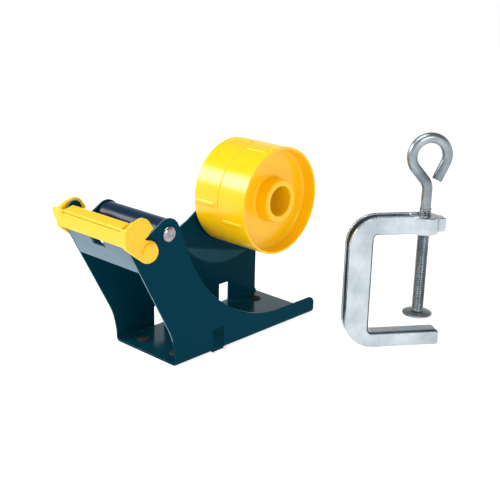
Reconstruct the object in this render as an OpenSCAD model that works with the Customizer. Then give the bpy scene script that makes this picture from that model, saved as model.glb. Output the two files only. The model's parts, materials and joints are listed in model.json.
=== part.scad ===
// Bench dispenser for packing tape, with its loose table clamp.
// +X runs from the cutting edge to the rear, +Y to the tall wall, +Z up.
// The origin is the middle of the base's underside, on the bench.

/* [Frame] */
// Length of the base from front edge to rear edge
base_l = 136.5; // [132:0.5:142]
// Width over the two walls
frame_w = 59; // [56:1:64]
// Thickness of the steel sheet
sheet_t = 1.5; // [1.2:0.1:2]
// Forward lean of the walls' front edges, in degrees from upright
lean = 28; // [26:1:30]
// Height at which the sloping cross plate starts
plate_z = 70; // [66:1:72]
// Width of the slots for the clamp's arm
slot_w = 10; // [8:0.5:11]
// Height of those slots above the bench
slot_h = 16; // [14:0.5:17]
// Height of the low wall's rear end
lip_h = 12.5; // [10:0.5:14]

/* [Roller] */
// Radius of the tape roller
roller_r = 8.8; // [8:0.1:9]
// Height of the roller's axis
roller_z = 90; // [89:0.5:91]

/* [Hub] */
// Outer radius of the hub, for a tape core with a 76 mm hole
hub_r = 37.5; // [36:0.5:37.5]
// Height of the hub's axis
hub_z = 88.5; // [86:0.5:92]
// Radius of the open bore in the hub's boss
hub_bore_r = 10.5; // [9.5:0.5:11]

/* [Guard] */
// Height of the guard's pivot
pivot_z = 83.3; // [82.5:0.1:84]
// Thickness of the guard's cheeks
cheek_t = 3.2; // [2.5:0.1:3.5]

/* [Clamp] */
// Depth of the clamp, from spine to the end of the lower arm
clamp_l = 66; // [60:1:75]
// Height of the clamp's C
clamp_h = 91; // [85:1:100]
// Width of the pressed channel
clamp_w = 12; // [10:0.5:14]
// Diameter of the screw's thread
screw_d = 8; // [6:1:10]
// Height of the disc above the bench with the clamp as stored
pad_z = 20.8; // [12:0.2:60]

/* [Hidden] */
$fn = 96;
fit = 0.05;               // radial clearance of a running fit
half_w = frame_w / 2;
inner_y = half_w - sheet_t;
bend_r = 2 * sheet_t;
front_x = -67.5;
rear_x = front_x + base_l;
front_corner = 15.5;      // height where the front edges start to slope

// Roller, and the ears of the walls that hold it
roller_x = -74;
ear_r = 9.7;
ear_slope = 33.6;
ear_back = 22;
ear_drop = 21;            // straight rear edge below the roller's ear
corner_round = 55;
axle_r = 3;
bush_t = 1.2;
roller_end = inner_y - 0.5;
roller_wall = 1.2;

// Front ears, which stand behind the guard
front_ear_x = -99.5;
front_ear_r = 5.5;
front_ear_z = 98.3;
notch_x = -93;
notch_z = 89.8;
vertical_z = 86;          // above this the front plate stands upright

// Concave rear edge of the low wall
scoop_r = 98.5;
scoop_x = 34;

// Tall wall
far_slope = 31;
far_line = [3, 77.2];
far_rear_x = rear_x - 1;
head_r = 24;
shoulder_r = 10;
shoulder_z = 72;
lip_r = 5;
valley_r = 15;

// Dish pressed into the tall wall round the hub
dish_r = 55.5;
dish_flat_r = 44;
dish_d = 1.5;

slot_front_x = -29.7;
slot_rear_x = 34;
plug_x = 55.5;
plug_y = 16;
plug_r = 3.2;

// Front plate, blade and leaf
plate_top = 94;
window_y = [-5.8, 6.2];
window_z = [82, 91];
blade_x = front_at(vertical_z)[0] + sheet_t;
blade_t = 0.8;
blade_l = 52;
blade_z = [87.5, 95.5];
tooth_h = 1.5;
tooth_n = 26;
rivet_y = 18;
rivet_z = 90.6;
leaf_y = [-5.3, -1.5];
leaf_t = 0.6;

// Hub, along Y
hub_x = 36.5;
hub_near = -22.5;
hub_far = 24;
hub_seam = 1.5;
rim_t = 1.8;
web_t = 2.5;
near_web = -12;
far_web = 12;
boss_r = 15.3;
hub_axle_r = 6;
stud_r = 4;
rib_h = 0.7;
rib_w = 2.4;
rib_n = 4;
rib_near_a = 18.5;
rib_far_a = 2;
brake_r = 9.4;
spring_r = 6.6;
wire_r = 0.7;
coils = 4;
spring_y = [4.1, 10.4];

// Guard
pivot_x = -92.5;
cheek_y = half_w + 0.6;
cap_r = 6;
cap_h = 1.7;
band_t = 2.2;
band_rear = 27.2;
fin_y = 38;

// Clamp, in its own frame: x along the arms, z up
clamp_pos = [36.3, -81.1];
clamp_a = -37;
clamp_t = 2.4;
spine_w = 16.5;
lower_h = 10.2;
upper_h = 12.2;
clamp_corner = 20;
throat_r = 3;
screw_x = 51.6;
boss_h = 12.6;
clamp_boss_r = 9.5;
screw_r = screw_d / 2;
rod_r = 3.5;
thread_top = 95;
neck_z = 111;
neck_bend = 10;
eye_r = 11.9;
eye_z = 129.5;
eye_end_a = 24;
eye_end_l = 12;
pad_r = 10;
pad_t = 2.2;
tip_r = 2.9;

function dir(a) = [cos(a), sin(a)];

// A point of the walls' sloping front line at height z
function front_at(z) = [front_x - (z - front_corner) * tan(lean), z];

// A slab of the given outline (drawn in X and Z) between two planes across Y
module across(y0, y1) {
    translate([0, y1, 0]) rotate([90, 0, 0]) linear_extrude(y1 - y0) children();
}

// Moves a turned piece, drawn along +Z, to lie along +Y at an axis of the frame
module on_axis(x, z, y) {
    translate([x, y, z]) rotate([-90, 0, 0]) children();
}

// Fills an inside corner at p, between edges that leave at angles a1 and a2.
// The arc is a hair wide, so that it crosses both edges and leaves no sliver.
module inside_round(p, a1, a2, r) {
    half = abs(a1 - a2) / 2;
    reach = r / tan(half);
    difference() {
        polygon([p + reach * dir(a1), p, p + reach * dir(a2)]);
        translate(p + r / sin(half) * dir((a1 + a2) / 2)) circle(r + 0.02, $fn = 180);
    }
}

// The outline that both walls share: front edge, front ear and roller ear
module wall_front() {
    ear = [roller_x, roller_z];
    tangent_front = ear + ear_r * dir(90 + ear_slope);
    tangent_back = ear + ear_r * dir(ear_back);
    polygon([
        [front_x, 0], [front_x, front_corner], front_at(vertical_z),
        [front_at(vertical_z)[0], front_ear_z], [front_ear_x + front_ear_r, front_ear_z],
        [notch_x, notch_z], tangent_front, ear, tangent_back, tangent_back + ear_drop * dir(ear_back - 90),
        [scoop_x, 0]
    ]);
    inside_round([front_x, front_corner], 270, 90 + lean, corner_round);
    translate(ear) circle(ear_r);
    translate([front_ear_x, front_ear_z]) circle(front_ear_r);
}

module near_outline() {
    difference() {
        union() {
            wall_front();
            polygon([[-57, 0], [-57, 74], [scoop_x, 74], [scoop_x, lip_h], [rear_x - lip_r, lip_h],
                [rear_x, lip_h - lip_r], [rear_x, 0]]);
            translate([rear_x - lip_r, lip_h - lip_r]) circle(lip_r);
        }
        translate([scoop_x, lip_h + scoop_r]) circle(scoop_r, $fn = 240);
    }
}

module far_outline() {
    back = 270 + ear_back;
    start = [roller_x, roller_z] + ear_r * dir(ear_back);
    // where the roller ear's rear edge meets the rising line
    run = ((far_line[1] - start[1]) * cos(far_slope) - (far_line[0] - start[0]) * sin(far_slope))
        / (sin(back) * cos(far_slope) - cos(back) * sin(far_slope));
    valley = start + run * dir(back);
    wall_front();
    polygon([[front_x, 0], [front_x, front_corner], valley, far_line + 13 * dir(far_slope),
        [hub_x, hub_z + head_r - 1], [hub_x + head_r - 1, hub_z], [far_rear_x, shoulder_z], [far_rear_x, 4],
        [rear_x, 3], [rear_x, 0]]);
    polygon([start, valley, [front_x, front_corner], [roller_x, roller_z]]);
    inside_round(valley, 90 + ear_back, far_slope, valley_r);
    translate([hub_x, hub_z]) circle(head_r);
    translate([far_rear_x - shoulder_r, shoulder_z]) circle(shoulder_r);
}

// Cross-section of the bent channel, drawn in Y and Z
module channel_section(inset) {
    w = half_w - inset;
    r = bend_r - inset;
    translate([-w, inset + r]) square([2 * w, 150]);
    translate([r - w, inset]) square([2 * (w - r), r + 1]);
    for (side = [-1, 1]) translate([side * (w - r), inset + r]) circle(r);
}

// A slot through the wall and its bend, with the base left as a flush tab
module slot_cut(x, side) {
    translate([x - slot_w / 2, side > 0 ? inner_y - 2 : -half_w - 1, sheet_t])
        cube([slot_w, sheet_t + 3, slot_h - sheet_t]);
}

module slot_tab(x, side) {
    translate([x - slot_w / 2, side > 0 ? inner_y - 2 : -half_w, 0])
        cube([slot_w, sheet_t + 2, sheet_t]);
}

module frame() {
    color([0.01, 0.23, 0.28])
    difference() {
        union() {
            intersection() {
                translate([-150, 0, 0]) rotate([90, 0, 90]) linear_extrude(300) difference() {
                    channel_section(0);
                    channel_section(sheet_t);
                }
                union() {
                    across(-half_w - 1, 0) near_outline();
                    across(0, half_w + 1) far_outline();
                }
            }
            slot_tab(slot_front_x, -1);
            slot_tab(slot_front_x, 1);
            slot_tab(slot_rear_x, 1);
            intersection() {
                on_axis(hub_x, hub_z, inner_y - dish_d) cylinder(h = dish_d, r1 = dish_flat_r, r2 = dish_r);
                across(0, half_w) far_outline();
            }
        }
        on_axis(hub_x, hub_z, half_w - dish_d)
            cylinder(h = dish_d + 0.01, r1 = dish_flat_r, r2 = dish_r);
        slot_cut(slot_front_x, -1);
        slot_cut(slot_front_x, 1);
        slot_cut(slot_rear_x, 1);
        on_axis(roller_x, roller_z, -half_w - 1) cylinder(h = frame_w + 2, r = axle_r + fit);
        on_axis(pivot_x, pivot_z, -half_w - 1) cylinder(h = frame_w + 2, r = axle_r + fit);
        on_axis(hub_x, hub_z, 0) cylinder(h = half_w + 1, r = stud_r + fit);
        for (x = [-plug_x, plug_x], y = [-plug_y, plug_y])
            translate([x, y, -1]) cylinder(h = sheet_t + 2, r = plug_r);
    }
}

// Cross plate between the walls: slopes with their front edges, then stands upright
module front_plate() {
    corner = front_at(vertical_z);
    back = [sheet_t / cos(lean), 0];
    color([0.3, 0.45, 0.5])
    difference() {
        across(-inner_y, inner_y) polygon([
            front_at(plate_z), corner, [corner[0], plate_top], [corner[0] + sheet_t, plate_top],
            corner + [sheet_t, sheet_t * tan(lean / 2)], front_at(plate_z) + back
        ]);
        translate([corner[0] - 5, window_y[0], window_z[0]])
            cube([15, window_y[1] - window_y[0], window_z[1] - window_z[0]]);
        for (y = [-rivet_y, rivet_y]) translate([corner[0] - 1, y, rivet_z]) rotate([0, 90, 0])
            cylinder(h = 5, r = 1.5);
    }
}

// Serrated strip on the rear face of the upright part
module blade() {
    pitch = blade_l / tooth_n;
    teeth = [for (i = [0 : tooth_n - 1]) each [
        [-blade_l / 2 + i * pitch, blade_z[1]],
        [-blade_l / 2 + (i + 0.5) * pitch, blade_z[1] + tooth_h]
    ]];
    color([0.75, 0.76, 0.78])
    difference() {
        translate([blade_x, 0, 0]) rotate([90, 0, 90]) linear_extrude(blade_t)
            polygon(concat([[-blade_l / 2, blade_z[0]]], teeth,
                [[blade_l / 2, blade_z[1]], [blade_l / 2, blade_z[0]]]));
        translate([blade_x - 1, window_y[0], 0]) cube([5, window_y[1] - window_y[0], window_z[1]]);
        for (y = [-rivet_y, rivet_y]) translate([blade_x - 1, y, rivet_z]) rotate([0, 90, 0])
            cylinder(h = 5, r = 1.5);
    }
}

module blade_rivets() {
    color([0.7, 0.7, 0.72])
    for (y = [-rivet_y, rivet_y]) translate([blade_x - sheet_t, y, rivet_z]) rotate([0, 90, 0]) {
        translate([0, 0, -0.6]) cylinder(h = 0.6, r1 = 2, r2 = 2.6);
        cylinder(h = sheet_t + blade_t, r = 1.5);
        translate([0, 0, sheet_t + blade_t]) cylinder(h = 0.9, r1 = 2.6, r2 = 1.8);
    }
}

// Spring leaf behind the plate; its tip looks out through the window
module spring_tongue() {
    plate_back = [sheet_t / cos(lean), 0];
    foot = front_at(plate_z + 3) + plate_back;
    bend = front_at(window_z[0] + 0.4) + plate_back;
    tip = [front_at(vertical_z)[0] - 0.6, 88.6];
    thickness = [leaf_t / cos(lean), 0];
    color([0.85, 0.86, 0.88])
    difference() {
        across(leaf_y[0], leaf_y[1]) polygon([foot, bend, tip, tip + [leaf_t, 0.1],
            bend + thickness, foot + thickness]);
        tongue_hole(1);
    }
}

module tongue_hole(r) {
    spot = front_at(plate_z + 6);
    translate([spot[0], (leaf_y[0] + leaf_y[1]) / 2, spot[1]]) rotate([0, 90 - lean, 0])
        translate([0, 0, sheet_t]) cylinder(h = 4, r = r, center = true);
}

module tongue_rivet() {
    spot = front_at(plate_z + 6);
    color([0.7, 0.7, 0.72])
    translate([spot[0], (leaf_y[0] + leaf_y[1]) / 2, spot[1]]) rotate([0, 90 - lean, 0]) {
        translate([0, 0, sheet_t]) cylinder(h = leaf_t, r = 1);
        translate([0, 0, sheet_t + leaf_t]) cylinder(h = 0.7, r1 = 1.8, r2 = 1.3);
    }
}

// A domed head of radius r and height h, flat at z = 0
module dome(r, h) {
    ball = (r * r + h * h) / (2 * h);
    rotate_extrude() intersection() {
        translate([0, h - ball]) circle(ball);
        square([r, h]);
    }
}

module roller_axle() {
    color([0.75, 0.74, 0.76]) {
        on_axis(roller_x, roller_z, -half_w) cylinder(h = frame_w + 2, r = axle_r);
        translate([roller_x, -half_w, roller_z]) rotate([90, 0, 0]) dome(5, 2.8);
    }
}

module roller_axle_cap() {
    color([0.7, 0.7, 0.72])
    on_axis(roller_x, roller_z, half_w) difference() {
        dome(5.2, 3.4);
        translate([0, 0, -1]) cylinder(h = 3, r = axle_r);
    }
}

module hub_axle() {
    color([0.7, 0.71, 0.73])
    on_axis(hub_x, hub_z, 0) {
        translate([0, 0, hub_far + 0.6]) cylinder(h = inner_y - dish_d - hub_far - 0.6, r = 9);
        translate([0, 0, far_web - 0.4]) cylinder(h = hub_far + 1 - far_web, r = hub_axle_r);
        translate([0, 0, -3.4]) cylinder(h = 41, r = stud_r);
    }
}

module hub_axle_washer() {
    color([0.72, 0.73, 0.75])
    on_axis(hub_x, hub_z, half_w - dish_d) difference() {
        cylinder(h = 1.6, r = 8);
        translate([0, 0, -1]) cylinder(h = 4, r = stud_r);
    }
}

module hex_nut(h) {
    difference() {
        intersection() {
            cylinder(h = h, r = 7.5, $fn = 6);
            cylinder(h = h, r1 = 11, r2 = 7);
        }
        translate([0, 0, -1]) cylinder(h = h + 2, r = stud_r);
    }
}

module hub_axle_nut() {
    color([0.72, 0.73, 0.75])
    on_axis(hub_x, hub_z, half_w - dish_d + 1.6) hex_nut(6.2);
}

module brake_washer() {
    color([0.25, 0.25, 0.27])
    on_axis(hub_x, hub_z, far_web - 1.5) difference() {
        cylinder(h = 1.4, r = brake_r);
        translate([0, 0, -1]) cylinder(h = 4, r = hub_axle_r);
    }
}

// One side of the swept wire: ring i of the coil spring
function coil_ring(i, steps, sides) = let (
        turn = 360 * coils * i / steps,
        rise = spring_y[0] + wire_r + (spring_y[1] - spring_y[0] - 2 * wire_r) * i / steps
    ) [for (k = [0 : sides - 1]) let (a = 360 * k / sides, q = spring_r + wire_r * cos(a))
        [q * cos(turn), q * sin(turn), rise + wire_r * sin(a)]];

module brake_spring() {
    steps = coils * 20;
    sides = 8;
    points = [for (i = [0 : steps]) each coil_ring(i, steps, sides)];
    walls = [for (i = [0 : steps - 1], k = [0 : sides - 1]) let (n = (k + 1) % sides)
        [i * sides + k, i * sides + n, (i + 1) * sides + n, (i + 1) * sides + k]];
    first = [for (k = [sides - 1 : -1 : 0]) k];
    last = [for (k = [0 : sides - 1]) steps * sides + k];
    color([0.6, 0.61, 0.63])
    on_axis(hub_x, hub_z, 0) polyhedron(points, concat(walls, [first, last]), convexity = 6);
}

module brake_nut() {
    color([0.72, 0.73, 0.75])
    on_axis(hub_x, hub_z, spring_y[0] - 0.1) mirror([0, 0, 1]) hex_nut(6);
}

module base_plugs() {
    color([0.2, 0.1, 0.12])
    for (x = [-plug_x, plug_x], y = [-plug_y, plug_y]) translate([x, y, 0]) {
        cylinder(h = sheet_t, r = plug_r);
        translate([0, 0, sheet_t]) dome(4.2, 1.8);
    }
}

module roller_tube() {
    end = roller_end - bush_t;
    color([0.05, 0.22, 0.33])
    on_axis(roller_x, roller_z, -end) difference() {
        cylinder(h = 2 * end, r = roller_r);
        translate([0, 0, -1]) cylinder(h = 2 * end + 2, r = roller_r - roller_wall);
    }
}

module roller_bush() {
    difference() {
        union() {
            cylinder(h = bush_t, r = roller_r - 0.3);
            cylinder(h = 11, r = roller_r - roller_wall);
        }
        translate([0, 0, -1]) cylinder(h = 20, r = axle_r + fit);
    }
}

module roller_bush_near() {
    color([0.06, 0.1, 0.12]) on_axis(roller_x, roller_z, -roller_end) roller_bush();
}

module roller_bush_far() {
    color([0.06, 0.1, 0.12])
    on_axis(roller_x, roller_z, roller_end) mirror([0, 0, 1]) roller_bush();
}

// Rim, and raised ribs along it, of one hub half that starts at z = 0
module hub_shell(h, rib0, rib1, rib_angle) {
    difference() {
        cylinder(h = h, r = hub_r, $fn = 180);
        translate([0, 0, -1]) cylinder(h = h + 2, r = hub_r - rim_t, $fn = 180);
    }
    for (k = [0 : rib_n - 1]) rotate(rib_angle + 360 * k / rib_n)
        translate([hub_r - 1, -rib_w / 2, rib0]) cube([1 + rib_h, rib_w, rib1 - rib0]);
}

module hub_outer() {
    length = hub_seam - hub_near;
    color([1, 0.8, 0.02])
    on_axis(hub_x, hub_z, hub_near) difference() {
        union() {
            hub_shell(length, 3.5, 20.5, -rib_near_a);
            translate([0, 0, near_web - hub_near]) cylinder(h = web_t, r = hub_r - 1);
            cylinder(h = length, r = boss_r);
        }
        translate([0, 0, -1]) cylinder(h = length + 2, r = hub_bore_r);
    }
}

module hub_inner() {
    length = hub_far - hub_seam;
    color([1, 0.78, 0.02])
    on_axis(hub_x, hub_z, hub_seam) difference() {
        union() {
            hub_shell(length, 3.5, 20.5, -rib_far_a);
            translate([0, 0, far_web - hub_seam]) cylinder(h = web_t, r = hub_r - 1);
            cylinder(h = length, r = boss_r);
        }
        translate([0, 0, -1]) cylinder(h = far_web - hub_seam + 1, r = hub_bore_r);
        cylinder(h = length + 1, r = hub_axle_r + fit);
    }
}

// Outline of a guard cheek, drawn in X and Z
module cheek_outline() {
    translate([pivot_x, pivot_z]) circle(7);
    translate([-97.3, 98.4]) circle(6.5);
    polygon([[-97.4, 78.2], [-109.8, 88.3], [-109.8, 99.9], [-104.2, 103.2], [-97.3, 104.9],
        [-92.4, 102.7], [-88.8, 97.3], [-95.8, 91.8], [-91, 90], [-89, 82]]);
}

// Finger guard: an angle-shaped bar over the blade, two cheeks, and its pivots
module guard() {
    front = -109.6;
    corner = 99.8;
    low = 88.6;
    color([0.99, 0.78, 0.1]) {
        for (side = [0, 1]) mirror([0, side, 0]) {
            across(cheek_y, cheek_y + cheek_t) cheek_outline();
            on_axis(pivot_x, pivot_z, cheek_y + cheek_t) cylinder(h = cap_h, r = cap_r);
            on_axis(pivot_x, pivot_z, inner_y) cylinder(h = cheek_y - inner_y, r = axle_r);
        }
        across(-cheek_y, cheek_y) polygon([[front, low], [front, corner], [front + band_t, corner],
            [front + band_t, low]]);
        across(-band_rear, band_rear) polygon([[front, corner], [-101.6, 101.8],
            [-101.1, 99.6], [front + band_t, 98]]);
        // thumb fin beyond the far cheek
        translate([front, 0, 0]) rotate([90, 0, 90]) linear_extrude(band_t) intersection() {
            polygon([[cheek_y, low], [fin_y, low], [fin_y, corner], [cheek_y, corner]]);
            translate([fin_y - 11.5, corner]) circle(11.5);
        }
    }
}

// The clamp's C seen from the side, with its outer line moved in by inset
module clamp_outer(inset) {
    r = clamp_corner - inset;
    translate([clamp_corner, inset]) square([clamp_l - clamp_corner, clamp_h / 2]);
    translate([clamp_corner, inset])
        square([screw_x - clamp_corner, clamp_h - 2 * inset]);
    translate([inset, clamp_corner]) square([clamp_l / 2, clamp_h - 2 * clamp_corner]);
    for (z = [clamp_corner, clamp_h - clamp_corner]) translate([clamp_corner, z]) circle(r);
}

// The space inside the C, made larger all round by grow
module clamp_throat(grow) {
    side = spine_w - grow;
    low = lower_h - grow;
    top = clamp_h - upper_h + grow;
    r = throat_r + grow;
    translate([side, low + r]) square([100, top - low - 2 * r]);
    translate([side + r, low]) square([100, top - low]);
    for (z = [low + r, top - r]) translate([side + r, z]) circle(r);
}

// Places a piece of the clamp where the clamp stands
module at_clamp() {
    translate(clamp_pos) rotate(clamp_a) children();
}

// A channel that is open on the outside of the C and closed at the lower arm's end
module clamp_frame() {
    color([0.75, 0.77, 0.79])
    at_clamp() difference() {
        union() {
            difference() {
                across(-clamp_w / 2, clamp_w / 2) difference() {
                    clamp_outer(0);
                    clamp_throat(0);
                }
                across(clamp_t - clamp_w / 2, clamp_w / 2 - clamp_t) difference() {
                    clamp_outer(-1);
                    clamp_throat(clamp_t);
                    translate([clamp_l - clamp_t, -2]) square(clamp_l);
                }
            }
            translate([screw_x, 0, clamp_h - boss_h]) cylinder(h = boss_h - 1.2, r = clamp_boss_r);
            translate([screw_x, -4.5, clamp_h - boss_h + 1]) cube([13.5, 9, boss_h - 3.4]);
        }
        translate([screw_x, 0, clamp_h - 30]) cylinder(h = 60, r = screw_r + fit);
    }
}

// A tube of radius r along stations [x, z, heading], all in the x-z plane
module bent_rod(stations, r, sides) {
    count = len(stations);
    rings = [for (s = stations) each [for (k = [0 : sides - 1])
        let (a = 360 * k / sides, across = s[2] - 90)
        [s[0] + r * cos(a) * cos(across), r * sin(a), s[1] + r * cos(a) * sin(across)]]];
    walls = [for (i = [0 : count - 2], k = [0 : sides - 1]) let (n = (k + 1) % sides)
        [i * sides + k, (i + 1) * sides + k, (i + 1) * sides + n, i * sides + n]];
    first = [for (k = [0 : sides - 1]) k];
    last = [for (k = [sides - 1 : -1 : 0]) (count - 1) * sides + k];
    polyhedron(rings, concat(walls, [first, last]), convexity = 6);
}

// Screw with its eye: the rod leans off the axis, runs round the eye and stops by its neck
module clamp_screw() {
    flank = asin(eye_r / (eye_z - neck_z));
    bend_z = neck_z - neck_bend * tan(flank / 2);
    bend = [for (i = [0 : 6]) let (a = flank * i / 6)
        [-neck_bend * (1 - cos(a)), bend_z + neck_bend * sin(a), 90 + a]];
    sweep = 180 + flank + eye_end_a;
    eye = [for (i = [0 : 30]) let (a = 180 + flank - sweep * i / 30)
        [eye_r * cos(a), eye_z + eye_r * sin(a), a - 90]];
    turn = eye[30];
    end = [turn[0] + eye_end_l * cos(turn[2]), turn[1] + eye_end_l * sin(turn[2]), turn[2]];
    stem = pad_z + pad_t + 0.6;
    color([0.66, 0.68, 0.71])
    at_clamp() translate([screw_x, 0, 0]) {
        translate([0, 0, pad_z + 0.4]) cylinder(h = pad_t + 2, r = tip_r);
        translate([0, 0, stem]) cylinder(h = thread_top - stem, r = screw_r);
        bent_rod(concat([[0, thread_top - 2, 90]], bend, eye, [end]), rod_r, 20);
    }
}

module clamp_pad() {
    color([0.5, 0.52, 0.54])
    at_clamp() translate([screw_x, 0, pad_z]) difference() {
        union() {
            cylinder(h = 1.2, r = pad_r);
            translate([0, 0, 1.2]) cylinder(h = pad_t - 1.2, r1 = pad_r, r2 = 5.5);
        }
        translate([0, 0, -1]) cylinder(h = pad_t + 2, r = tip_r + fit);
    }
}

frame();
front_plate();
blade();
blade_rivets();
spring_tongue();
tongue_rivet();
roller_axle();
roller_axle_cap();
hub_axle();
hub_axle_washer();
hub_axle_nut();
brake_washer();
brake_spring();
brake_nut();
base_plugs();
roller_tube();
roller_bush_near();
roller_bush_far();
hub_outer();
hub_inner();
guard();
clamp_frame();
clamp_screw();
clamp_pad();
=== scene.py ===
import json
import math

import bmesh
import bpy
from mathutils import Matrix, Vector


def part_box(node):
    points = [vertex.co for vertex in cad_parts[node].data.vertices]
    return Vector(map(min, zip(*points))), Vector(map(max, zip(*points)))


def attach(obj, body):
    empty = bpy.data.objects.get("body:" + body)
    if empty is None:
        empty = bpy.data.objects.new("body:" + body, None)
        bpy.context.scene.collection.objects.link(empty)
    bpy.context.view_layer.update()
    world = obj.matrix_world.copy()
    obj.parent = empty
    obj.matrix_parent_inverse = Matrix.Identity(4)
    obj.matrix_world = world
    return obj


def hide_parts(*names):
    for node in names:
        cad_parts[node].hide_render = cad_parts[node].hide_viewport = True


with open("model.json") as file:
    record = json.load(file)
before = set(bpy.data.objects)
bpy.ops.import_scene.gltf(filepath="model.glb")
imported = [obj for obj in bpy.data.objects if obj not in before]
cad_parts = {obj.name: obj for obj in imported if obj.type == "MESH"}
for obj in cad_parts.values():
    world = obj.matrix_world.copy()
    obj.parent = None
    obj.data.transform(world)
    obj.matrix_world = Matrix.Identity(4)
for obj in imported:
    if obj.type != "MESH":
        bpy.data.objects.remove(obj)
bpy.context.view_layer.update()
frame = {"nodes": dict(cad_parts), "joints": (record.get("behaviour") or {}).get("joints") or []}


# --- Studio -------------------------------------------------------------
# A white bench top in a bright room with a dimmer ceiling. The light comes
# from soft boxes: a broad one overhead, one at the far left and a fill from
# the near side. The bench top gives off light too, so that it stays white.

MM = 0.001
scene = bpy.context.scene
scene.view_settings.view_transform = "Standard"

camera_at = (-448.4, -440.6, 263.7)
camera_heading = math.radians(47.41)
camera_dip = math.radians(18.24)
camera_roll = math.radians(1.446)
camera_lens = 69.54

forward = Vector((
    math.sin(camera_heading) * math.cos(camera_dip),
    math.cos(camera_heading) * math.cos(camera_dip),
    -math.sin(camera_dip),
))
level = Vector((math.cos(camera_heading), -math.sin(camera_heading), 0))
across = Matrix.Rotation(-camera_roll, 3, forward) @ level
camera = bpy.data.objects.new("camera", bpy.data.cameras.new("camera"))
camera.data.lens = camera_lens
camera.data.clip_start = 10 * MM
camera.matrix_world = Matrix.Translation(Vector(camera_at) * MM) @ Matrix(
    (across, across.cross(forward), -forward)
).transposed().to_4x4()
scene.collection.objects.link(camera)
scene.camera = camera


def plug(tree, slot, value):
    """Feeds a node's input from a wire, or sets it to a number or a colour."""
    if isinstance(value, Wire):
        tree.links.new(value.socket, slot)
    else:
        slot.default_value = value


class Wire:
    """An output of a shader node. Arithmetic on wires adds Math nodes."""

    def __init__(self, tree, socket):
        self.tree = tree
        self.socket = socket

    def reckon(self, operation, first, second):
        node = self.tree.nodes.new("ShaderNodeMath")
        node.operation = operation
        plug(self.tree, node.inputs[0], first)
        plug(self.tree, node.inputs[1], second)
        return Wire(self.tree, node.outputs[0])

    def __add__(self, other):
        return self.reckon("ADD", self, other)

    def __radd__(self, other):
        return self.reckon("ADD", other, self)

    def __mul__(self, other):
        return self.reckon("MULTIPLY", self, other)

    def __pow__(self, other):
        return self.reckon("POWER", self, other)


class Nodes:
    """The node tree of one material or of the room, built a node at a time."""

    def __init__(self, owner):
        owner.use_nodes = True
        self.tree = owner.node_tree

    def add(self, kind, settings=None, inputs=None, output=0):
        node = self.tree.nodes.new("ShaderNode" + kind)
        for key, value in (settings or {}).items():
            if key == "stops":
                for at, colour in value[2:]:
                    node.color_ramp.elements.new(at)
                for stop, (at, colour) in zip(node.color_ramp.elements, value):
                    stop.position = at
                    stop.color = colour
            else:
                setattr(node, key, value)
        for key, value in (inputs or {}).items():
            slot = next(s for s in node.inputs if s.enabled and key in (s.name, s.identifier))
            plug(self.tree, slot, value)
        shown = [s for s in node.outputs if s.enabled]
        chosen = shown[output] if isinstance(output, int) else node.outputs[output]
        return Wire(self.tree, chosen)

    def ramp(self, value, *stops):
        """Grey levels along a value: stops are (place, level)."""
        greys = [(at, (level, level, level, 1)) for at, level in stops]
        return self.add("ValToRGB", {"stops": greys}, {"Fac": value})

    def mix(self, factor, first, second):
        """A colour between two colours."""
        return self.add("Mix", {"data_type": "RGBA"}, {"Factor": factor, "A": first, "B": second})

    def place(self):
        """Where a point lies in the object's own frame, in metres."""
        return self.add("TexCoord", output="Object")

    def noise(self, vector, scale, detail=3, rough=0.5):
        """Soft random spots, from 0 to 1, with `scale` of them to a metre."""
        return self.add("TexNoise", None, {
            "Vector": vector, "Scale": scale, "Detail": detail, "Roughness": rough})

    def stretched(self, vector, x, y, z):
        """The same place with each direction stretched by its own factor."""
        return self.add("Mapping", None, {"Vector": vector, "Scale": (x, y, z)})


def tint(red, green, blue):
    """A colour given as the usual screen values from 0 to 255."""
    def linear(part):
        part /= 255
        return part / 12.92 if part <= 0.04045 else ((part + 0.055) / 1.055) ** 2.4

    return linear(red), linear(green), linear(blue), 1


room = bpy.data.worlds.new("room")
scene.world = room
sky = Nodes(room)
height = sky.add("SeparateXYZ", None, {"Vector": sky.add("TexCoord", output="Generated")}, "Z")
glow = sky.ramp(height * 0.5 + 0.5, (0.0, 1.0), (0.52, 1.0), (0.62, 0.85), (0.75, 0.3), (1.0, 0.22))
sky.tree.nodes["Background"].inputs["Strength"].default_value = 1
plug(sky.tree, sky.tree.nodes["Background"].inputs["Color"], glow)


def soft_box(name, toward, distance, width, height, watts):
    """A square lamp that looks at the middle of the object from a direction."""
    lamp = bpy.data.lights.new(name, "AREA")
    lamp.shape = "RECTANGLE"
    lamp.size = width * MM
    lamp.size_y = height * MM
    lamp.energy = watts
    holder = bpy.data.objects.new(name, lamp)
    middle = Vector((0, 0, 60))
    holder.location = (middle + Vector(toward).normalized() * distance) * MM
    holder.rotation_euler = Vector(toward).to_track_quat("Z", "Y").to_euler()
    scene.collection.objects.link(holder)


soft_box("overhead_box", (-0.15, 0.1, 1), 900, 620, 620, 4.6)
soft_box("left_box", (-0.62, 0.62, 0.47), 900, 420, 300, 5.0)
soft_box("fill_box", (-0.35, -0.95, 0.5), 1100, 420, 420, 2.6)

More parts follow.
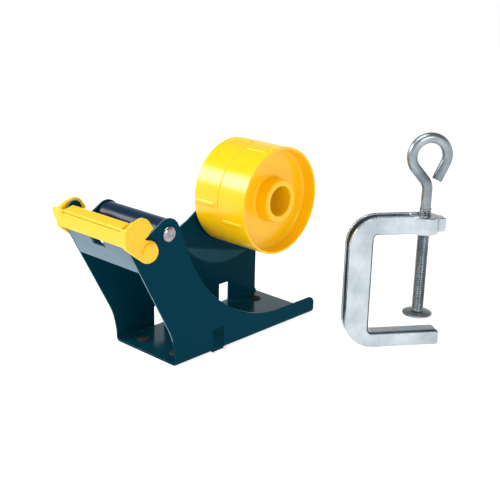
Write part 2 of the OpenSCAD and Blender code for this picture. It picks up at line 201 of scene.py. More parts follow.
bench_size = 60000
bench = bmesh.new()
bmesh.ops.create_grid(bench, x_segments=2, y_segments=2, size=bench_size / 2 * MM)
bench_mesh = bpy.data.meshes.new("bench_top")
bench.to_mesh(bench_mesh)
bench_top = bpy.data.objects.new("bench_top", bench_mesh)
bench_top.location.z = -0.05 * MM
scene.collection.objects.link(bench_top)
bench_white = bpy.data.materials.new("bench_white")
bench_nodes = Nodes(bench_white)
bench_shader = bench_nodes.tree.nodes["Principled BSDF"]
bench_shader.inputs["Base Color"].default_value = (0.5, 0.5, 0.5, 1)
bench_shader.inputs["Roughness"].default_value = 0.75
bench_shader.inputs["Specular IOR Level"].default_value = 0.2
bench_shader.inputs["Emission Color"].default_value = (1, 1, 1, 1)
bench_shader.inputs["Emission Strength"].default_value = 0.8
bench_mesh.materials.append(bench_white)


# --- Channel ------------------------------------------------------------
# One piece of steel sheet, 1.5 mm thick, blanked and bent to a U with a low
# wall and a tall one, then powder coated in a deep blue green. The coat has
# a slight orange peel and is glossier on the base. Its cut edges are painted
# pale in random patches as a painted highlight, and a pale crescent below the
# hub on the tall wall's inner face is a painted reflection of the bright bench.

def finish(name, build, **constants):
    """A material: constants go on the shader's own sockets, build returns its links."""
    made = bpy.data.materials.new(name)
    nodes = Nodes(made)
    shader = nodes.tree.nodes["Principled BSDF"]
    for key, value in constants.items():
        shader.inputs[key.replace("_", " ")].default_value = value
    for key, value in build(nodes).items():
        plug(nodes.tree, shader.inputs[key], value)
    return made


def plain(node):
    """A CAD node's mesh, in millimetres, with the facets of its flat faces joined."""
    work = bmesh.new()
    work.from_mesh(frame["nodes"][node].data)
    bmesh.ops.scale(work, vec=Vector((1, 1, 1)) / MM, verts=work.verts)
    bmesh.ops.remove_doubles(work, verts=work.verts, dist=0.02)
    bmesh.ops.dissolve_limit(
        work, angle_limit=math.radians(0.5), verts=work.verts, edges=work.edges)
    return work


def rounded(node, radius, segments=2, steep=35):
    """The plain mesh of a CAD node with its steep edges rounded."""
    work = plain(node)
    sharp = [e for e in work.edges
             if len(e.link_faces) == 2 and e.calc_face_angle(0) > math.radians(steep)]
    bmesh.ops.bevel(
        work, geom=sharp, offset=radius, offset_type="OFFSET", segments=segments,
        profile=0.5, affect="EDGES", clamp_overlap=False)
    return work


def show(name, work, materials, body, replaced, smooth=40):
    """Makes the shown piece from a mesh in millimetres, and hides the CAD parts it replaces."""
    bmesh.ops.scale(work, vec=Vector((1, 1, 1)) * MM, verts=work.verts)
    bmesh.ops.recalc_face_normals(work, faces=work.faces)
    mesh = bpy.data.meshes.new(name)
    work.to_mesh(mesh)
    work.free()
    mesh.shade_smooth()
    mesh.set_sharp_from_angle(angle=math.radians(smooth))
    for material in materials:
        mesh.materials.append(material)
    piece = bpy.data.objects.new(name, mesh)
    scene.collection.objects.link(piece)
    even = piece.modifiers.new("even_shading", "WEIGHTED_NORMAL")
    even.keep_sharp = True
    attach(piece, body)
    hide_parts(*replaced)
    return piece


def joint_at(name):
    """A joint's place in millimetres."""
    return Vector(next(j["pos_m"] for j in frame["joints"] if j["name"] == name)) / MM


hub_axis = joint_at("hub_spin")
crescent_reach = 56
crescent_chord = 44.5
crescent_side = math.radians(-104)
paint_deep = tint(0, 48, 64)
paint_soft = tint(0, 57, 73)
# A paler teal, painted on as the crescent of reflected light below the hub.
crescent_reflection_tint = tint(46, 88, 106)


def teal_coat_and_reflection_crescent(nodes):
    place = nodes.place()
    cloud = nodes.noise(place, 22, 4)
    smudge = nodes.noise(place, 65, 5, 0.65)
    peel = nodes.noise(place, 750, 2)
    centred = nodes.add("Mapping", None, {"Vector": place, "Location": -hub_axis * MM})
    parts = {axis: nodes.add("SeparateXYZ", None, {"Vector": centred}, axis) for axis in "XYZ"}
    per_10_cm = 1 / (100 * MM)
    reach = (parts["X"] ** 2 + parts["Z"] ** 2) ** 0.5 * per_10_cm
    # Below the hub, a ring segment of the tall wall's inner face is painted paler: a painted reflection of
    # the bright bench.
    below = (parts["X"] * math.cos(crescent_side) + parts["Z"] * math.sin(crescent_side)) * per_10_cm
    past_chord = nodes.ramp(below, (crescent_chord / 100, 0), (crescent_chord / 100 + 0.02, 1))
    within = nodes.ramp(reach, (crescent_reach / 100 - 0.012, 1), (crescent_reach / 100, 0))
    tall_wall = nodes.ramp(parts["Y"] * per_10_cm, (0.26, 0), (0.262, 1), (0.285, 1), (0.287, 0))
    painted_reflection_crescent = past_chord * within * tall_wall * (smudge * 0.35 + 0.55)
    return {
        "Base Color": nodes.mix(painted_reflection_crescent, nodes.mix(cloud, paint_deep, paint_soft), crescent_reflection_tint),
        "Roughness": 0.13 + smudge * 0.16,
        "Normal": nodes.add("Bump", None, {"Height": peel, "Strength": 0.25, "Distance": 0.04 * MM}),
    }


# Pale colours in random patches, painted on the cut edges as a highlight.
def edge_highlight_coat(nodes):
    place = nodes.place()
    patchy = nodes.ramp(nodes.noise(place, 160, 6, 0.7), (0.35, 0), (0.65, 1))
    return {
        "Base Color": nodes.mix(patchy, tint(40, 82, 96), tint(112, 146, 158)),
        "Roughness": 0.3 + patchy * 0.2,
        "Normal": nodes.add("Bump", None, {
            "Height": nodes.noise(place, 1400, 3), "Strength": 0.4, "Distance": 0.05 * MM}),
    }


def floor_coat(nodes):
    place = nodes.place()
    cloud = nodes.noise(place, 22, 4)
    smudge = nodes.noise(place, 50, 5, 0.65)
    return {
        "Base Color": nodes.mix(cloud, tint(2, 52, 66), tint(8, 66, 82)),
        "Roughness": 0.1 + smudge * 0.12,
        "Normal": nodes.add("Bump", None, {
            "Height": nodes.noise(place, 500, 2), "Strength": 0.2, "Distance": 0.03 * MM}),
    }


teal_paint = finish("teal_paint", teal_coat_and_reflection_crescent, IOR=1.08)
cut_edge_highlight = finish("cut_edge_highlight", edge_highlight_coat, IOR=1.4)
base_gloss = finish("base_gloss", floor_coat, IOR=1.75, Specular_Tint=(0.42, 0.8, 0.92, 1))

channel = rounded("frame", 0.3)
slot_top = 17
base_top = 2
for face in channel.faces:
    at = face.calc_center_median()
    if face.normal.z > 0.9 and at.z < base_top:
        face.material_index = 2
    # Edge faces above the slots get the painted highlight colours.
    elif abs(face.normal.y) < 0.3 and at.z > slot_top:
        face.material_index = 1
show("channel", channel, [teal_paint, cut_edge_highlight, base_gloss], "frame", ["frame"])


# --- Cross plate --------------------------------------------------------
# A strip of the same sheet, spot welded between the walls. Its coat is painted
# a paler blue grey than the walls, a painted reflection of the bright bench
# below it. It carries the blade, and a window in it shows the leaf.

# A paler blue grey, painted on as the bright bench reflected in the plate's coat.
def pale_reflection_coat(nodes):
    place = nodes.place()
    cloud = nodes.noise(place, 60, 4)
    return {
        "Base Color": nodes.mix(cloud, tint(78, 108, 124), tint(92, 122, 136)),
        "Roughness": 0.22 + cloud * 0.14,
        "Normal": nodes.add("Bump", None, {
            "Height": nodes.noise(place, 800, 2), "Strength": 0.3, "Distance": 0.04 * MM}),
    }


plate_paint = finish("plate_paint", pale_reflection_coat, IOR=1.35)
show("cross_plate", rounded("front_plate", 0.25), [plate_paint], "frame",
     ["front_plate"])


# --- Blade, leaf and their rivets ---------------------------------------
# A serrated strip of spring steel, ground on both faces and riveted to the
# back of the plate. The leaf behind the window is bright rolled steel.

def metal(colour, dull, grain, roughness, ripple=0.02):
    """Steel whose scratches run along the axis that grain stretches least."""
    def build(nodes):
        place = nodes.place()
        lines = nodes.noise(nodes.stretched(place, *grain), 1, 4, 0.6)
        blotch = nodes.noise(place, 110, 5, 0.6)
        return {
            "Base Color": nodes.mix(nodes.ramp(blotch, (0.3, 0), (0.7, 1)), dull, colour),
            "Roughness": roughness + lines * 0.14 + blotch * 0.06,
            "Normal": nodes.add("Bump", None, {
                "Height": lines, "Strength": 0.35, "Distance": ripple * MM}),
        }

    return build


blade_steel = finish("blade_steel", metal(
    tint(214, 216, 220), tint(176, 180, 186), (2500, 60, 2500), 0.16), Metallic=1)
leaf_steel = finish("leaf_steel", metal(
    tint(244, 246, 248), tint(224, 228, 232), (900, 900, 60), 0.1), Metallic=1)
rivet_steel = finish("rivet_steel", metal(
    tint(205, 203, 208), tint(150, 148, 155), (1500, 1500, 1500), 0.18), Metallic=1)
show("cutting_blade", rounded("blade", 0.06, 1), [blade_steel], "frame", ["blade"])
show("window_leaf", rounded("spring_tongue", 0.12), [leaf_steel], "frame",
     ["spring_tongue"])
show("blade_rivet_pair", rounded("blade_rivets", 0.25), [rivet_steel], "frame",
     ["blade_rivets"])
show("leaf_rivet", rounded("tongue_rivet", 0.2), [rivet_steel], "frame",
     ["tongue_rivet"])


# --- Roller -------------------------------------------------------------
# A thin tube of dark blue plastic over two black bushes, on a bright axle.
# The axle's head is a low dome at the near side, and a pressed cap closes
# the far side.

def arced(points, radius, steps=4):
    """Rounds each corner of a closed outline. A point may carry a radius of its own."""
    corners = [(Vector(p[:2]), p[2] if len(p) > 2 else radius) for p in points]
    outline = []
    for i, (corner, bend) in enumerate(corners):
        before = corners[i - 1][0] - corner
        after = corners[(i + 1) % len(corners)][0] - corner
        half = before.angle(after) / 2
        if bend <= 0 or half > math.radians(88):
            outline.append(corner)
            continue
        reach = min(bend / math.tan(half), 0.45 * before.length, 0.45 * after.length)
        start = corner + before.normalized() * reach
        end = corner + after.normalized() * reach
        for k in range(steps + 1):
            t = k / steps
            outline.append(start * (1 - t) ** 2 + corner * 2 * t * (1 - t) + end * t * t)
    return outline


def turned(outline, at, axis="Y", steps=96, lift=None, angles=None):
    """Turns a closed outline of (radius, height) points about a line through `at`."""
    work = bmesh.new()
    side, up = {"Y": (Vector((1, 0, 0)), Vector((0, 0, 1))),
                "Z": (Vector((1, 0, 0)), Vector((0, 1, 0)))}[axis]
    along = {"Y": Vector((0, 1, 0)), "Z": Vector((0, 0, 1))}[axis]
    angles = angles or [2 * math.pi * k / steps for k in range(steps)]
    rings = []
    for angle in angles:
        out = side * math.cos(angle) + up * math.sin(angle)
        ring = []
        for radius, height in outline:
            extra = lift(radius, height, angle) if lift else 0
            ring.append(work.verts.new(at + out * (radius + extra) + along * height))
        rings.append(ring)
    for ring, following in zip(rings, rings[1:] + rings[:1]):
        for i in range(len(outline)):
            j = (i + 1) % len(outline)
            work.faces.new((ring[i], ring[j], following[j], following[i]))
    bmesh.ops.remove_doubles(work, verts=work.verts, dist=0.001)
    return work


roller_axis = joint_at("roller_spin")
roller_low, roller_high = (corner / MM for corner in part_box("roller_tube"))
roller_r = (roller_high.z - roller_low.z) / 2
roller_wall = 1.2


def roller_skin(nodes):
    place = nodes.place()
    turning = nodes.noise(nodes.stretched(place, 30, 900, 30), 1, 3)
    smudge = nodes.noise(place, 90, 5, 0.6)
    return {
        "Base Color": nodes.mix(smudge, tint(0, 30, 52), tint(3, 40, 64)),
        "Roughness": 0.22 + smudge * 0.14,
        "Normal": nodes.add("Bump", None, {
            "Height": turning, "Strength": 0.2, "Distance": 0.03 * MM}),
    }


roller_blue = finish("roller_blue", roller_skin, IOR=1.3)
y0 = roller_low.y
y1 = roller_high.y
tube = arced([(roller_r, y0), (roller_r, y1), (roller_r - roller_wall, y1),
              (roller_r - roller_wall, y0)], 0.45)
show("roller", turned(tube, roller_axis.copy()), [roller_blue], "roller",
     ["roller_tube"])


def nylon(nodes):
    place = nodes.place()
    grain = nodes.noise(place, 900, 4, 0.6)
    return {
        "Base Color": nodes.mix(grain, tint(14, 20, 24), tint(30, 38, 42)),
        "Roughness": 0.38 + grain * 0.15,
        "Normal": nodes.add("Bump", None, {
            "Height": grain, "Strength": 0.3, "Distance": 0.03 * MM}),
    }


black_nylon = finish("black_nylon", nylon)
axle_hole = 3.05
for node, face, inward in (("roller_bush_near", -1, 1), ("roller_bush_far", 1, -1)):
    low, high = (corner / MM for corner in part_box(node))
    rim = low.y if face < 0 else high.y
    end = high.y if face < 0 else low.y
    flange = rim + inward * 1.2
    bush_r = (high.z - low.z) / 2
    bush = arced([(axle_hole, rim), (bush_r, rim), (bush_r, flange), (roller_r - roller_wall, flange),
                  (roller_r - roller_wall, end), (axle_hole, end)], 0.35)
    show(node + "_moulding", turned(bush, roller_axis.copy(), steps=64), [black_nylon], "roller",
         [node])

nickel = finish("axle_nickel", metal(
    tint(214, 206, 214), tint(120, 112, 122), (420, 420, 420), 0.14, 0.05), Metallic=1)
axle_low, axle_high = (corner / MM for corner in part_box("roller_axle"))
axle_r = 3
head_r = 5
wall_outer = -29.5
head_h = wall_outer - axle_low.y
crown = [(head_r * math.sin(a), wall_outer - head_h * (0.18 + 0.82 * math.cos(a)))
         for a in (math.radians(d) for d in range(0, 91, 9))]
axle = [(0.0, axle_low.y)] + crown[1:] + arced(
    [(head_r, wall_outer, 0.2), (axle_r, wall_outer, 0), (axle_r, axle_high.y, 0.4)], 0.2)
axle += [(0.0, axle_high.y)]
show("roller_axle_turning", turned(axle, roller_axis.copy(), steps=64), [nickel], "frame",
     ["roller_axle"])
cap_low, cap_high = (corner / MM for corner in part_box("roller_axle_cap"))
cap_r = (cap_high.z - cap_low.z) / 2
cap = [(cap_r * math.sin(a), cap_low.y + 0.6 + (cap_high.y - cap_low.y - 0.6) * math.cos(a))
       for a in (math.radians(d) for d in range(0, 91, 9))]
cap_bore_r = axle_r + 0.02
cap_bore_end = cap_low.y + 1.9
cap += [(cap_r, cap_low.y), (cap_bore_r, cap_low.y), (cap_bore_r, cap_bore_end), (0.0, cap_bore_end)]
show("roller_axle_end_cap", turned(cap, roller_axis.copy(), steps=64), [nickel], "frame",
     ["roller_axle_cap"])


# --- Hub ----------------------------------------------------------------
# Two glossy yellow mouldings, back to back, that slide into a tape core.
# Each is a rim, a web and a hollow boss, with low ribs that grip the core.

hub_half_r = 37.5
rim_inner_r = 35.7
hub_boss_r = 15.3
hub_bore_r = 10.5
hub_bearing_r = 6.05
hub_near = -22.5
hub_seam = 1.5
hub_far = 24
near_web = -12
far_web = 12
web_t = 2.5
grip_h = 0.7
grip_w = 2.8
grip_count = 4


def moulding(bright, deep, gloss):
    """Glossy plastic with flow marks and a faint haze of handling."""
    def build(nodes):
        place = nodes.place()
        flow = nodes.noise(nodes.stretched(place, 40, 14, 40), 1, 3)
        haze = nodes.noise(place, 130, 6, 0.62)
        skin = nodes.noise(place, 600, 2)
        return {
            "Base Color": nodes.mix(flow * 0.6 + haze * 0.4, deep, bright),
            "Roughness": gloss + haze * 0.14,
            "Normal": nodes.add("Bump", None, {
                "Height": skin, "Strength": 0.2, "Distance": 0.03 * MM}),
        }

    return build


hub_yellow = finish("hub_yellow", moulding(tint(255, 206, 4), tint(255, 192, 0), 0.17), IOR=1.5)


def grip(first, last, turn):
    """How far the rim stands out at the ribs, which run from first to last along Y."""
    def lift(radius, height, angle):
        if radius < hub_half_r - 0.05 or not first - 0.01 <= height <= last + 0.01:
            return 0
        off = (angle - turn + math.pi / grip_count) % (2 * math.pi / grip_count) - math.pi / grip_count
        share = (grip_w / 2 + 0.3 - abs(off) * hub_half_r) / 0.9
        ends = min(height - first, last - height) / 0.45
        return grip_h * max(0.0, min(1.0, share)) * max(0.0, min(1.0, ends))

    return lift


def grip_angles(turn):
    """Angles round the hub, closer together at the ribs."""
    even = [2 * math.pi * k / 108 for k in range(108)]
    close = [grip_w / 2 + extra for extra in (-0.6, -0.4, -0.15, 0.1, 0.35)]
    for k in range(grip_count):
        middle = turn + 2 * math.pi * k / grip_count
        even += [middle + side * reach / hub_half_r for side in (-1, 1) for reach in close]
    return sorted({round(a % (2 * math.pi), 4) for a in even})


def ribbed_wall(start, end, first, last):
    """The rim's outer line from start to end, with rows where the ribs begin and end."""
    rows = [start, first, first + 0.45, (first + last) / 2, last - 0.45, last, end]
    return [(hub_half_r, row, 0) for row in (rows if start < end else rows[::-1])[1:-1]]


near_turn = math.radians(-161.5 + 360)
near_half = arced(
    [(hub_half_r, hub_near, 0.5)] + ribbed_wall(hub_near, hub_seam, -19, -2)
    + [(hub_half_r, hub_seam, 0.7), (rim_inner_r, hub_seam, 0.3), (rim_inner_r, near_web + web_t, 1.5),
       (hub_boss_r, near_web + web_t, 1.5), (hub_boss_r, hub_seam, 0.3), (hub_bore_r, hub_seam, 0.3),
       (hub_bore_r, hub_near, 0.9), (hub_boss_r - 0.5, hub_near, 1.1), (hub_boss_r, near_web, 2.2),
       (rim_inner_r, near_web, 3.0), (rim_inner_r + 0.15, hub_near, 0.5)], 0.5)
show("hub_near_half", turned(near_half, hub_axis.copy(), lift=grip(-19, -2, near_turn),
                             angles=grip_angles(near_turn)),
     [hub_yellow], "hub", ["hub_outer"], 50)
far_turn = math.radians(182 + 360)
far_half = arced(
    [(hub_half_r, hub_seam, 0.7)] + ribbed_wall(hub_seam, hub_far, 5, 22)
    + [(hub_half_r, hub_far, 0.5), (rim_inner_r, hub_far, 0.5), (rim_inner_r, far_web + web_t, 2.5),
       (hub_boss_r, far_web + web_t, 2.2), (hub_boss_r, hub_far, 1.0), (hub_bearing_r, hub_far, 0.6),
       (hub_bearing_r, far_web, 0.3), (hub_bore_r, far_web, 0.6), (hub_bore_r, hub_seam, 0.3),
       (hub_boss_r, hub_seam, 0.3), (hub_boss_r, far_web, 1.5), (rim_inner_r, far_web, 1.5),
       (rim_inner_r, hub_seam, 0.3)], 0.5)
show("hub_far_half", turned(far_half, hub_axis.copy(), lift=grip(5, 22, far_turn),
                            angles=grip_angles(far_turn)),
     [hub_yellow], "hub", ["hub_inner"], 50)


# --- Hub axle and brake -------------------------------------------------
# A turned steel stud bolted through the tall wall. On its inner end a nut
# presses a coil spring and a fibre washer against the hub, as a brake.

turned_steel = finish("turned_steel", metal(
    tint(196, 198, 203), tint(150, 153, 160), (60, 2600, 60), 0.2), Metallic=1)
zinc_hardware = finish("zinc_hardware", metal(
    tint(206, 210, 214), tint(168, 173, 180), (500, 500, 500), 0.2), Metallic=1)
spring_wire = finish("spring_wire", metal(
    tint(176, 178, 184), tint(120, 124, 132), (1800, 1800, 1800), 0.22), Metallic=1)


def pressed_fibre(nodes):
    place = nodes.place()
    fibres = nodes.noise(nodes.stretched(place, 900, 200, 900), 1, 5, 0.7)
    return {
        "Base Color": nodes.mix(fibres, tint(52, 48, 46), tint(92, 86, 80)),
        "Roughness": 0.7 + fibres * 0.2,
        "Normal": nodes.add("Bump", None, {
            "Height": fibres, "Strength": 0.5, "Distance": 0.06 * MM}),
    }


fibre_washer = finish("fibre_washer", pressed_fibre)
for node, name, radius, material, slot in (
        ("hub_axle", "hub_stud", 0.4, turned_steel, "turned_steel"),
        ("hub_axle_washer", "stud_washer", 0.2, zinc_hardware, "zinc_hardware"),
        ("hub_axle_nut", "stud_nut", 0.3, zinc_hardware, "zinc_hardware"),
        ("brake_nut", "brake_hex_nut", 0.3, zinc_hardware, "zinc_hardware"),
        ("brake_washer", "brake_disc", 0.15, fibre_washer, "fibre_washer")):
    show(name, rounded(node, radius), [material], "frame", [node])

coil_low, coil_high = (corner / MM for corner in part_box("brake_spring"))
wire_r = 0.7
coil_turns = 4
coil_r = (coil_high.z - coil_low.z) / 2 - wire_r


def swept(route, radius, sides, cut=0.0):
    """A round bar along a list of points, with flat ends whose rims are broken by cut."""
    work = bmesh.new()
    rings = []
    count = len(route)
    spare = Vector((0, 1, 0)) if abs((route[1] - route[0]).normalized().y) < 0.9 else Vector((1, 0, 0))
    stations = [(point, radius) for point in route]
    if cut:
        ahead = (route[1] - route[0]).normalized()
        behind = (route[-1] - route[-2]).normalized()
        stations = ([(route[0], radius - cut), (route[0] + ahead * cut, radius)] + stations[1:-1]
                    + [(route[-1] - behind * cut, radius), (route[-1], radius - cut)])
        count = len(stations)
    for i, (point, size) in enumerate(stations):
        heading = (stations[min(i + 1, count - 1)][0] - stations[max(i - 1, 0)][0]).normalized()
        side = heading.cross(spare).normalized()
        spare = side.cross(heading).normalized()
        turns = [2 * math.pi * k / sides for k in range(sides)]
        rings.append([work.verts.new(
            point + size * (side * math.cos(turn) + spare * math.sin(turn))) for turn in turns])
    for ring, following in zip(rings, rings[1:]):
        for k in range(sides):
            n = (k + 1) % sides
            work.faces.new((ring[k], ring[n], following[n], following[k]))
    work.faces.new(rings[0][::-1])
    work.faces.new(rings[-1])
    return work


coil_steps = 40
coil = []
for i in range(coil_turns * coil_steps + 1):
    share = i / (coil_turns * coil_steps)
    turn = 2 * math.pi * coil_turns * share
    coil.append(Vector((
        hub_axis.x + coil_r * math.cos(turn),
        coil_low.y + wire_r + (coil_high.y - coil_low.y - 2 * wire_r) * share,
        hub_axis.z - coil_r * math.sin(turn))))
show("brake_coil_spring", swept(coil, wire_r, 12, 0.15), [spring_wire], "frame",
     ["brake_spring"])


# --- Base plugs ---------------------------------------------------------
# Four low rubber plugs, pressed into holes of the base from above.

def soft_rubber(nodes):
    place = nodes.place()
    bloom = nodes.noise(place, 300, 5, 0.65)
    return {
        "Base Color": nodes.mix(bloom, tint(12, 6, 9), tint(28, 14, 17)),
        "Roughness": 0.5 + bloom * 0.25,
        "Normal": nodes.add("Bump", None, {
            "Height": nodes.noise(place, 1500, 3), "Strength": 0.35, "Distance": 0.05 * MM}),
    }


plug_rubber = finish("plug_rubber", soft_rubber)
plugs = bmesh.new()
plugs_low, plugs_high = (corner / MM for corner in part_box("base_plugs"))
plug_head_r = 4.2
plug_stem_r = 3.2
sheet = 1.5
for x in (plugs_low.x + plug_head_r, plugs_high.x - plug_head_r):
    for y in (plugs_low.y + plug_head_r, plugs_high.y - plug_head_r):
        dome = [(plug_head_r * math.sin(a), sheet + (plugs_high.z - sheet) * (0.15 + 0.85 * math.cos(a)))
                for a in (math.radians(d) for d in range(0, 91, 9))]
        outline = dome + [(plug_head_r, sheet), (plug_stem_r, sheet), (plug_stem_r, 0.3),
                          (plug_stem_r - 0.3, 0.0), (0.0, 0.0)]
        one = turned(outline, Vector((x, y, 0)), "Z", 48)
        part = bpy.data.meshes.new("one_plug")
        one.to_mesh(part)
        one.free()
        plugs.from_mesh(part)
show("floor_plugs", plugs, [plug_rubber], "frame", ["base_plugs"])


# --- Guard --------------------------------------------------------------
# A soft cornered yellow moulding over the blade: a bar of two long faces
# between two cheeks, with a thumb fin at the far end. It swings on pins
# moulded inside the cheeks, which snap into the walls.

def reworked(work, *steps):
    """Runs modifiers over a mesh: steps are (kind, settings)."""
    raw = bpy.data.meshes.new("raw")
    work.to_mesh(raw)
    work.free()
    holder = bpy.data.objects.new("raw", raw)
    scene.collection.objects.link(holder)
    for kind, settings in steps:
        modifier = holder.modifiers.new(kind.lower(), kind)
        for key, value in settings.items():
            setattr(modifier, key, value)
    bpy.context.view_layer.update()
    changed = bpy.data.meshes.new_from_object(
        holder.evaluated_get(bpy.context.evaluated_depsgraph_get()))
    bpy.data.objects.remove(holder)
    result = bmesh.new()
    result.from_mesh(changed)
    return result


def blended(work, voxel, passes):
    """Fuses a mesh, in millimetres, and eases its corners as a mould does."""
    return reworked(work, ("REMESH", {"mode": "VOXEL", "voxel_size": voxel}),
                    ("SMOOTH", {"factor": 0.5, "iterations": passes}))


def thinned(work, share):
    """Keeps about this share of the faces."""
    return reworked(work, ("DECIMATE", {"ratio": share}))


guard_yellow = finish("guard_yellow", moulding(tint(254, 200, 12), tint(252, 184, 2), 0.2), IOR=1.5)
guard_front = -109.6
guard_foot = 85
guard_crease = 98.9
crease_depth = 1.5
crease_w = 0.75
crown = 1.0
bar = blended(rounded("guard", 0.2, 1), 0.4, 7)
for vertex in bar.verts:
    ahead = vertex.co.x - guard_front
    above = vertex.co.z - guard_crease
    if ahead < 3 and abs(vertex.co.y) < 27.5:
        dent = crease_depth * math.exp(-(ahead ** 2 + above ** 2) / crease_w ** 2)
        off_middle = 1 + 2 * above / (guard_crease - guard_foot)
        if above < 0 and ahead < 1.2:
            vertex.co.x += crown * min(1.0, off_middle ** 2)
        vertex.co += Vector((dent, 0, -dent))
show("blade_guard", thinned(bar, 0.6), [guard_yellow], "guard", ["guard"], 80)


# --- Clamp --------------------------------------------------------------
# A C pressed from thick sheet to a channel that is open on its outside, and
# zinc plated. Its edges are eased along the throat, and the eased faces get a
# darker zinc as a painted dark reflection. A boss at the end of its upper arm
# takes the screw.

def zinc_plate(bright, dull, roughness):
    """Bright zinc with drag marks from the press and a mottled, bluish haze."""
    def build(nodes):
        place = nodes.place()
        drag = nodes.noise(nodes.stretched(place, 260, 260, 40), 1, 4, 0.6)
        cloud = nodes.noise(place, 55, 5, 0.6)
        speck = nodes.noise(place, 900, 3, 0.6)
        return {
            "Base Color": nodes.mix(nodes.ramp(cloud, (0.32, 0), (0.68, 1)), dull, bright),
            "Roughness": roughness + drag * 0.16 + speck * 0.06,
            "Normal": nodes.add("Bump", None, {
                "Height": drag * 0.8 + speck * 0.2, "Strength": 0.45, "Distance": 0.08 * MM}),
        }

    return build


clamp_zinc = finish("clamp_zinc", zinc_plate(tint(204, 211, 216), tint(168, 179, 187), 0.18),
                    Metallic=1)
clamp_foot = Vector((36.3, -81.1, 0))
arm_turn = math.radians(-37)
arm = Vector((math.cos(arm_turn), math.sin(arm_turn), 0))
clamp_half_w = 6
clamp_spine = 16.5
throat_low = 10.2
throat_high = 78.8
boss_start = 42
throat_ease = 2.1


def at_throat(point):
    """Whether a point lies where the C's flat sides meet the inside of its throat."""
    along = (point - clamp_foot).dot(arm)
    aside = (point - clamp_foot).dot(arm.cross(Vector((0, 0, 1))))
    by_spine = abs(along - clamp_spine) < 3.1 and throat_low - 0.1 < point.z < throat_high + 0.1
    by_arms = clamp_spine < along and (
        abs(point.z - throat_low) < 0.1 or abs(point.z - throat_high) < 0.1 and along < boss_start)
    return abs(abs(aside) - clamp_half_w) < 0.1 and (by_spine or by_arms)


clamp_body = plain("clamp_frame")
eased = [e for e in clamp_body.edges if all(at_throat(v.co) for v in e.verts)
         and e.calc_face_angle(0) > math.radians(60)]
bmesh.ops.bevel(clamp_body, geom=eased, offset=throat_ease, offset_type="OFFSET", segments=4,
                profile=0.5, affect="EDGES", clamp_overlap=False)
clamp_body = thinned(blended(clamp_body, 0.45, 4), 0.5)
# A darker zinc for the painted dark reflection on the throat's eased edges.
zinc_dark_reflection = finish("zinc_dark_reflection", zinc_plate(tint(104, 116, 124), tint(82, 94, 102), 0.24), Metallic=1)
# Eased faces along the throat, away from the boss, get the darker zinc: a painted dark reflection.
for face in clamp_body.faces:
    facing = abs(face.normal.dot(arm.cross(Vector((0, 0, 1)))))
    middle = face.calc_center_median()
    inward = clamp_spine - 3 < (middle - clamp_foot).dot(arm)
    by_boss = (middle - clamp_foot).dot(arm) > boss_start and middle.z > throat_high - 2
    face.material_index = int(
        0.3 < facing < 0.93 and inward and not by_boss and middle.z > throat_low - 3)
show("clamp_channel", clamp_body, [clamp_zinc, zinc_dark_reflection], "clamp", ["clamp_frame"], 80)


# --- Clamp screw --------------------------------------------------------
# An M8 screw of plated rod. Its plain top is bent to an eye that serves as
# the handle, and the rod's cut end stops short of the neck.

screw_axis = joint_at("screw_turn")
screw_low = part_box("clamp_screw")[0] / MM
thread_r = 4.0
thread_pitch = 1.25
thread_depth = 0.6
thread_start = 23.6
thread_top = 95
rod_r = 3.5
tip_r = 2.9
rows_a_pitch = 6
screw_sides = 28
screw_zinc = finish("screw_zinc", zinc_plate(tint(164, 174, 180), tint(112, 122, 128), 0.2),
                    Metallic=1)


def thread_line(height, angle):
    """The screw's radius at a height and an angle, with the thread fading at both ends."""
    phase = (height / thread_pitch - angle / (2 * math.pi)) % 1
    tooth = 1 - abs(2 * phase - 1)
    groove = thread_depth * max(0.0, min(1.0, 1.35 * (1 - tooth) - 0.15))
    fade = max(0.0, min(1.0, (height - thread_start) / 1.2, (thread_top - height) / 3))
    return thread_r - groove * fade


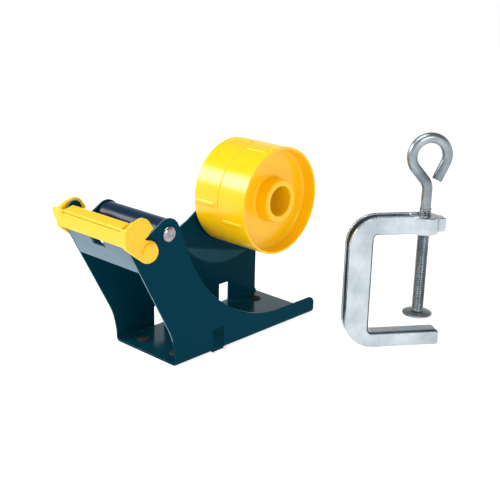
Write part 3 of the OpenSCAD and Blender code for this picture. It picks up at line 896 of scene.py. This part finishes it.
threaded = bmesh.new()
screw_foot = Vector((screw_axis.x, screw_axis.y, 0))
heights = [thread_start + 0.02]
while heights[-1] < thread_top - 0.4:
    heights.append(heights[-1] + thread_pitch / rows_a_pitch)
rings = []
for height in [screw_low.z, screw_low.z + 0.3, thread_start - 0.1] + heights + [thread_top - 0.2, thread_top]:
    ring = []
    for k in range(screw_sides):
        angle = 2 * math.pi * k / screw_sides
        radius = thread_line(height, angle)
        if height < thread_start:
            radius = tip_r - (0.3 if height == screw_low.z else 0)
        if height == thread_top:
            radius = rod_r - 0.4
        ring.append(threaded.verts.new(
            screw_foot + Vector((radius * math.cos(angle), radius * math.sin(angle), height))))
    rings.append(ring)
for ring, following in zip(rings, rings[1:]):
    for k in range(screw_sides):
        n = (k + 1) % screw_sides
        threaded.faces.new((ring[k], ring[n], following[n], following[k]))
threaded.faces.new(rings[0][::-1])
threaded.faces.new(rings[-1])

eye_r = 11.9
eye_z = 129.5
neck_z = 111
neck_bend = 10
flank = math.asin(eye_r / (eye_z - neck_z))
bend_z = neck_z - neck_bend * math.tan(flank / 2)
route = [(0, thread_top - 2), (0, (thread_top + bend_z) / 2)]
for i in range(9):
    turn = flank * i / 8
    route.append((-neck_bend * (1 - math.cos(turn)), bend_z + neck_bend * math.sin(turn)))
eye_end = math.radians(24)
sweep = math.pi + flank + eye_end
for i in range(49):
    turn = math.pi + flank - sweep * i / 48
    route.append((eye_r * math.cos(turn), eye_z + eye_r * math.sin(turn)))
heading = -eye_end - math.pi / 2
end_l = 12
route.append((route[-1][0] + end_l * math.cos(heading), route[-1][1] + end_l * math.sin(heading)))
rod = swept([screw_foot + arm * x + Vector((0, 0, z)) for x, z in route], rod_r, 24, 0.35)
rod_mesh = bpy.data.meshes.new("rod")
rod.to_mesh(rod_mesh)
rod.free()
threaded.from_mesh(rod_mesh)
show("clamp_screw_and_eye", threaded, [screw_zinc], "clamp_screw", ["clamp_screw"], 45)


# --- Clamp pad ----------------------------------------------------------
# A domed pressed disc, staked on the screw's tip so that it can turn.

pad_zinc = finish("pad_zinc", zinc_plate(tint(170, 178, 182), tint(104, 112, 116), 0.24), Metallic=1)
pad_low, pad_high = (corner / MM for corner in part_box("clamp_pad"))
pad_r = (pad_high.x - pad_low.x) / 2
pad_outline = arced([
    (pad_r, pad_low.z, 0.4), (pad_r, pad_low.z + 1.2, 0.5), (5.5, pad_high.z, 1.0),
    (tip_r + 0.05, pad_high.z, 0.2), (tip_r + 0.05, pad_low.z, 0.2), (7.4, pad_low.z, 0.8)], 0.4)
show("clamp_pad_disc", turned(pad_outline, screw_foot.copy(), "Z", 72), [pad_zinc], "clamp_pad",
     ["clamp_pad"])
